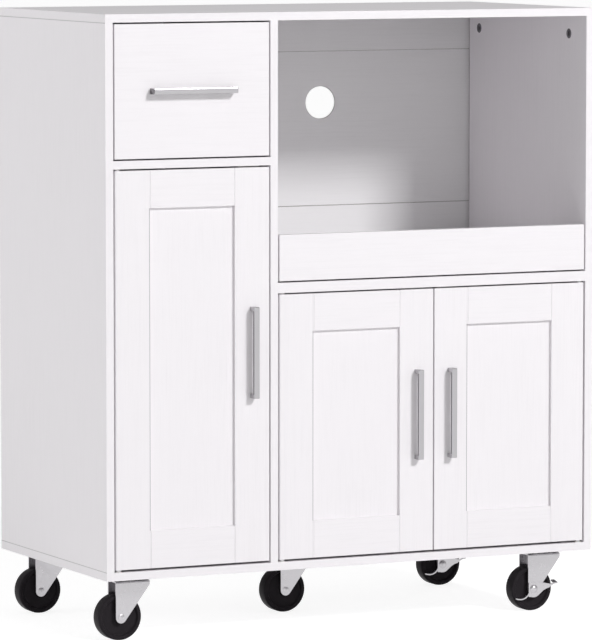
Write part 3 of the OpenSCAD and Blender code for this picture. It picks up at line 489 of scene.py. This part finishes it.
# (radius, half width) in mm from the bore outwards: hub, sunk web with a step where the
# rim starts, rim lip and tread. The other half is its mirror image.
bore_radius, hub_half = 3.05, 12.6
half_wheel = [(8.0, hub_half), (8.8, 7.2), (26.6, 7.0), (28.3, 11.0), (34.0, 10.8)]
bore_round, half_round = 0.3, [0.8, 1.6, 1.6, 0.7, 2.6]
wheel_outline = rounded([(bore_radius, -hub_half)] + [(r, -y) for r, y in half_wheel]
                        + half_wheel[::-1] + [(bore_radius, hub_half)],
                        [bore_round] + half_round + half_round[::-1] + [bore_round])

# Dark dull grey round the ball race, on the plate's underside and on the fork's head: partly
# grease on the steel, mostly a painted shade for the narrow gap there.
# The pedal's outer faces that do not look to the front are painted a darker grey, a painted
# shade for the shaded underside beside the plating.
grease_and_race_shade = grey_metal("grease_and_painted_shade_at_race", "#343235", roughness=0.45, fleck_mm=2.0)
pedal_shade = grey_metal("pedal_painted_shade", "#757276", roughness=0.4, fleck_mm=2.0)
fork_top, plate_under = 86.8 * mm, 90.9 * mm
part_of(dressed("caster_plates", "cabinet", zinc_plate, ease=0.3), grease_and_race_shade,
        lambda middle, normal: middle.z < plate_under)
dressed("caster_screws", "cabinet", zinc_plate, ease=0.3)
for corner in ("front_left", "front_right", "centre", "rear_left", "rear_right"):
    part_of(dressed(corner + "_fork", corner + "_swivel", zinc_plate, ease=0.3),
            grease_and_race_shade, lambda middle, normal: middle.z > fork_top)
    dressed(corner + "_axle", corner + "_swivel", zinc_plate, ease=0.2)
    solid = places_of(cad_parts[corner + "_wheel"])
    wheel = turned("moulded_wheel_" + corner, wheel_outline,
                   (solid.min(0) + solid.max(0)) / 2)
    wheel.data.materials.append(black_moulding)
    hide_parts(corner + "_wheel")
    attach(wheel, corner + "_wheel")

# On the brake levers, linear lifts curl the hook up behind the axle, and raise the arm's
# tip with the near edge of the pedal, so that the pedal slopes less towards the outside.
# arm_start, pedal_out and hook_start are measured outwards from the axle's middle. The pedal's
# faces whose normal's y is below to_the_front look to the front and stay plated; the others
# beyond pedal_out get the painted shade.
arm_start, arm_length, pedal_out = 29 * mm, 6.2 * mm, 35.8 * mm
pedal_depth, pedal_lift = 11.2 * mm, 2.4 * mm
hook_start, hook_length, hook_lift = -9 * mm, 19.5 * mm, 4 * mm
to_the_front = -0.5
for corner in ("front_right", "rear_right"):
    lever = dressed(corner + "_brake", corner + "_brake", zinc_plate, ease=0.25)
    axle = places_of(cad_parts[corner + "_axle"])
    centre = (axle.min(0) + axle.max(0)) / 2
    places = places_of(lever)
    out = places[:, 0] - centre[0]
    places[:, 2] += hook_lift * np.clip((hook_start - out) / hook_length, 0, 1)
    depth = places[:, 1] - places[:, 1].min()
    places[:, 2] += (pedal_lift * np.clip((out - arm_start) / arm_length, 0, 1)
                     * (1 - np.clip(depth / pedal_depth, 0, 1)))
    lever.data.vertices.foreach_set("co", places.ravel())
    part_of(lever, pedal_shade,
            lambda middle, normal: (middle.x > centre[0] + pedal_out
                                    and normal.y > to_the_front))


# ---- Floor and daylight ----
# A wide matt floor. For the camera and for mirror-like surfaces it shows as white paper,
# while it still takes the shadow; the object itself only gets its plain diffuse light.

# White paper, 60 m to each side, matt and even. Where it is seen, it is a mid grey that
# glows, so that it shows white and the object's shadow on it stays faint.
floor_reach, paper_glow = 60.0, 0.84
floor_mesh = bpy.data.meshes.new("paper_floor")
floor_mesh.from_pydata([(-floor_reach, -floor_reach, 0), (floor_reach, -floor_reach, 0),
                        (floor_reach, floor_reach, 0), (-floor_reach, floor_reach, 0)],
                       [], [(0, 1, 2, 3)])
floor = bpy.data.objects.new("paper_floor", floor_mesh)
scene.collection.objects.link(floor)
paper, paper_tree, paper_shader = new_material("white_paper")
paper_shader.inputs["Roughness"].default_value = 0.9
paper_shader.inputs["Specular IOR Level"].default_value = 0.1
ray = add(paper_tree, "ShaderNodeLightPath")
seen = add(paper_tree, "ShaderNodeMath", {"operation": "MAXIMUM"})
paper_tree.links.new(ray.outputs["Is Camera Ray"], seen.inputs[0])
paper_tree.links.new(ray.outputs["Is Glossy Ray"], seen.inputs[1])
glow = add(paper_tree, "ShaderNodeMath", {"operation": "MULTIPLY"})
glow.inputs[1].default_value = paper_glow
paper_tree.links.new(seen.outputs[0], glow.inputs[0])
tone = add(paper_tree, "ShaderNodeMix", {"data_type": "RGBA"}, Factor=seen.outputs[0])
tone.inputs[colour_a].default_value = linear("#E6E6E6")
tone.inputs[colour_b].default_value = linear("#A0A0A0")
paper_tree.links.new(tone.outputs[colour_result], paper_shader.inputs["Base Color"])
paper_shader.inputs["Emission Color"].default_value = (1, 1, 1, 1)
paper_tree.links.new(glow.outputs[0], paper_shader.inputs["Emission Strength"])
floor_mesh.materials.append(paper)

# The sky lights the object at level_at_horizon from the sides, falling to level_overhead
# from above. For the camera and through glass it is level_seen, plain white.
level_at_horizon, level_overhead, level_seen = 0.6, 0.19, 1.0
value_a, value_b = 2, 3
world = bpy.data.worlds.new("studio")
scene.world = world
world.use_nodes = True
sky = world.node_tree
sky.nodes.clear()
sky_place = add(sky, "ShaderNodeTexCoord")
sky_parts = add(sky, "ShaderNodeSeparateXYZ", Vector=sky_place.outputs["Generated"])
sky_level = add(sky, "ShaderNodeMapRange",
                {"From Min": 0.0, "From Max": 1.0,
                 "To Min": level_at_horizon, "To Max": level_overhead},
                Value=sky_parts.outputs["Z"])
sky_ray = add(sky, "ShaderNodeLightPath")
sky_seen = add(sky, "ShaderNodeMath", {"operation": "MAXIMUM"})
sky.links.new(sky_ray.outputs["Is Camera Ray"], sky_seen.inputs[0])
sky.links.new(sky_ray.outputs["Is Transmission Ray"], sky_seen.inputs[1])
sky_mix = add(sky, "ShaderNodeMix", {"data_type": "FLOAT"}, Factor=sky_seen.outputs[0])
sky.links.new(sky_level.outputs["Result"], sky_mix.inputs[value_a])
sky_mix.inputs[value_b].default_value = level_seen
sky_shader = add(sky, "ShaderNodeBackground", {"Color": (1, 1, 1, 1)},
                 Strength=sky_mix.outputs[0])
add(sky, "ShaderNodeOutputWorld", Surface=sky_shader.outputs["Background"])


def soft_lamp(name, towards, distance, size, power, aim=(0.0, 0.0, 0.45)):
    """A rectangular lamp of that size and power, in metres and watts, which faces aim from
    the direction towards, given as azimuth from the front and elevation in degrees."""
    azimuth, elevation = (math.radians(angle) for angle in towards)
    back = Vector((math.sin(azimuth) * math.cos(elevation),
                   -math.cos(azimuth) * math.cos(elevation), math.sin(elevation)))
    light = bpy.data.lights.new(name, "AREA")
    light.shape = "RECTANGLE"
    light.size, light.size_y = size
    light.energy = power
    lamp = bpy.data.objects.new(name, light)
    lamp.location = Vector(aim) + back * distance
    lamp.rotation_euler = back.to_track_quat("Z", "Y").to_euler()
    scene.collection.objects.link(lamp)


soft_lamp("window", towards=(21.5, 31.0), distance=8.0, size=(1.5, 1.1), power=412.0,
          aim=(0.13, -0.1, 0.85))
soft_lamp("left_wall", towards=(-100.0, 8.0), distance=4.0, size=(2.4, 2.4), power=50.5)
soft_lamp("front_wall", towards=(-8.0, 6.0), distance=6.0, size=(4.0, 3.0), power=24.0)

scene.view_settings.view_transform = "Standard"


# ---- Camera ----
# A long lens from the front left, a little above the top of the cabinet. Its focal length
# is known in pixels of the photograph, which is 592 wide and 640 high.

focal_px, high_px, sensor_mm = 5011.0, 640, 36.0
standpoint = (-3.2776, -6.7848, 1.1220)
look_down, look_right = math.radians(5.151), math.radians(25.761)
camera = bpy.data.cameras.new("camera")
camera.sensor_width = sensor_mm
camera.lens = focal_px / high_px * sensor_mm
camera.clip_end = 100.0
viewer = bpy.data.objects.new("camera", camera)
viewer.location = standpoint
viewer.rotation_euler = (math.radians(90) - look_down, 0.0, -look_right)
scene.collection.objects.link(viewer)
scene.camera = viewer
